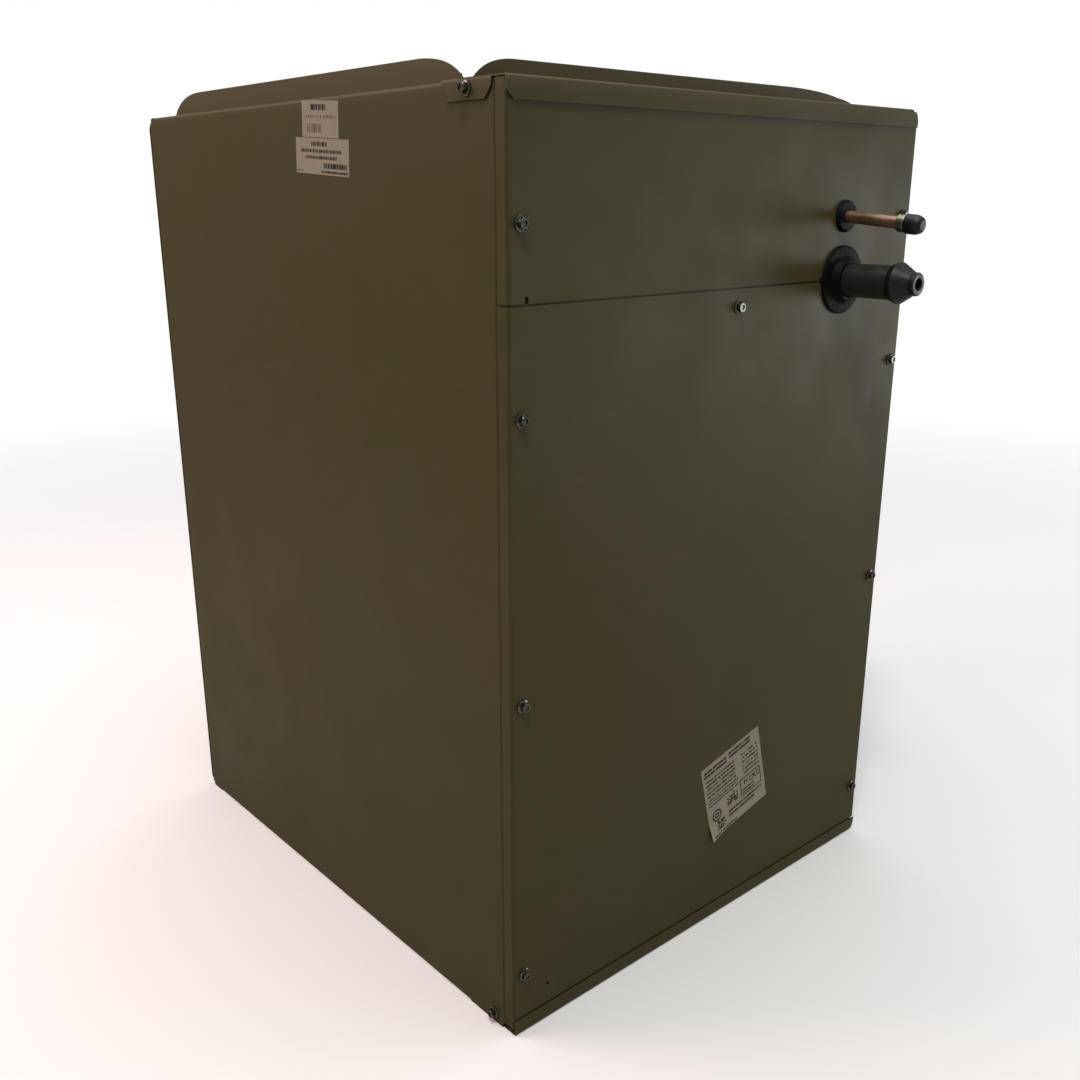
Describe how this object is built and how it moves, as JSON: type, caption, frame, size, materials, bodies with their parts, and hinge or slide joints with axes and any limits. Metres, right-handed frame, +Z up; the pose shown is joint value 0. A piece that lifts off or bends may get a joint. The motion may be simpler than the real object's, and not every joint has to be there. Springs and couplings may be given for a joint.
{
  "type": "cased evaporator coil",
  "caption": "Painted sheet-steel cabinet with an A-shaped refrigerant coil inside, open duct flanges top and bottom, a lift-off access panel and capped pipe stubs at the front.",
  "frame": {"origin": "bottom centre of the whole part's box, pipe stubs and screw heads included, on the face that rests on the furnace", "axes": "+Z up along the air flow, -Y out of the front panel along the pipe stubs, +X to the right as seen from the front"},
  "size_m": [0.456, 0.5824, 0.692],
  "materials": {
    "cabinet_paint": "satin",
    "insulation_foil": "satin",
    "label_stock": "matte",
    "galvanised_steel": "satin",
    "pan_plastic": "matte",
    "plug_plastic": "matte",
    "coil_fins": "satin",
    "copper_tube": "satin",
    "brass_fitting": "satin",
    "black_rubber": "matte",
    "black_sleeve": "satin",
    "zinc_screw": "satin"
  },
  "bodies": {
    "cabinet": {"left_side_panel": "cabinet_paint", "right_side_panel": "cabinet_paint", "back_panel": "cabinet_paint", "top_front_rail": "cabinet_paint", "bottom_front_rail": "cabinet_paint", "upper_front_panel": "cabinet_paint", "left_liner": "insulation_foil", "right_liner": "insulation_foil", "back_liner": "insulation_foil", "upper_front_liner": "insulation_foil", "stock_label": "label_stock", "notice_label": "label_stock", "left_pan_rail": "galvanised_steel", "right_pan_rail": "galvanised_steel", "left_front_tube_sheet": "galvanised_steel", "left_rear_tube_sheet": "galvanised_steel", "right_front_tube_sheet": "galvanised_steel", "right_rear_tube_sheet": "galvanised_steel", "apex_cap": "galvanised_steel", "front_delta_plate": "galvanised_steel", "rear_delta_plate": "galvanised_steel", "drain_pan": "pan_plastic", "left_fin_pack": "coil_fins", "right_fin_pack": "coil_fins", "left_coil_tubes": "copper_tube", "right_coil_tubes": "copper_tube", "suction_header": "copper_tube", "suction_line": "copper_tube", "liquid_line": "copper_tube", "left_feeder_tube": "copper_tube", "right_feeder_tube": "copper_tube", "distributor": "brass_fitting", "liquid_collar": "brass_fitting", "suction_sleeve": "black_sleeve", "upper_panel_screw_left": "zinc_screw", "top_rail_screw_left": "zinc_screw", "base_rail_screw_left": "zinc_screw", "back_screw_left_low": "zinc_screw", "back_screw_left_high": "zinc_screw", "upper_panel_screw_right": "zinc_screw", "top_rail_screw_right": "zinc_screw", "base_rail_screw_right": "zinc_screw", "back_screw_right_low": "zinc_screw", "back_screw_right_high": "zinc_screw"},
    "access_panel": {"lower_access_panel": "cabinet_paint", "access_panel_liner": "insulation_foil", "rating_label": "label_stock", "access_screw_centre": "zinc_screw", "access_screw_left_top": "zinc_screw", "access_screw_left_middle": "zinc_screw", "access_screw_left_bottom": "zinc_screw", "access_screw_right_top": "zinc_screw", "access_screw_right_middle": "zinc_screw", "access_screw_right_bottom": "zinc_screw"},
    "suction_grommet_body": {"suction_grommet": "black_rubber"},
    "suction_plug_body": {"suction_plug": "black_rubber"},
    "liquid_grommet_body": {"liquid_grommet": "black_rubber"},
    "liquid_cap_body": {"liquid_cap": "black_rubber"},
    "primary_drain_plug_body": {"primary_drain_plug": "plug_plastic"},
    "secondary_drain_plug_body": {"secondary_drain_plug": "plug_plastic"}
  },
  "joints": [
    {"name": "access_panel_pull", "type": "slide", "parent": "cabinet", "child": "access_panel", "axis": [0, -1, 0], "range_m": [0, 0.3]},
    {"name": "suction_grommet_pull", "type": "slide", "parent": "access_panel", "child": "suction_grommet_body", "axis": [0, -1, 0], "range_m": [0, 0.036]},
    {"name": "suction_plug_pull", "type": "slide", "parent": "access_panel", "child": "suction_plug_body", "axis": [0, -1, 0], "range_m": [0, 0.08]},
    {"name": "liquid_grommet_pull", "type": "slide", "parent": "cabinet", "child": "liquid_grommet_body", "axis": [0, -0.9962, -0.0872], "range_m": [0, 0.036]},
    {"name": "liquid_cap_pull", "type": "slide", "parent": "cabinet", "child": "liquid_cap_body", "axis": [0, -0.9962, -0.0872], "range_m": [0, 0.04]},
    {"name": "primary_drain_plug_pull", "type": "slide", "parent": "cabinet", "child": "primary_drain_plug_body", "axis": [1, 0, 0], "range_m": [0, 0.05]},
    {"name": "secondary_drain_plug_pull", "type": "slide", "parent": "cabinet", "child": "secondary_drain_plug_body", "axis": [1, 0, 0], "range_m": [0, 0.05]}
  ]
}
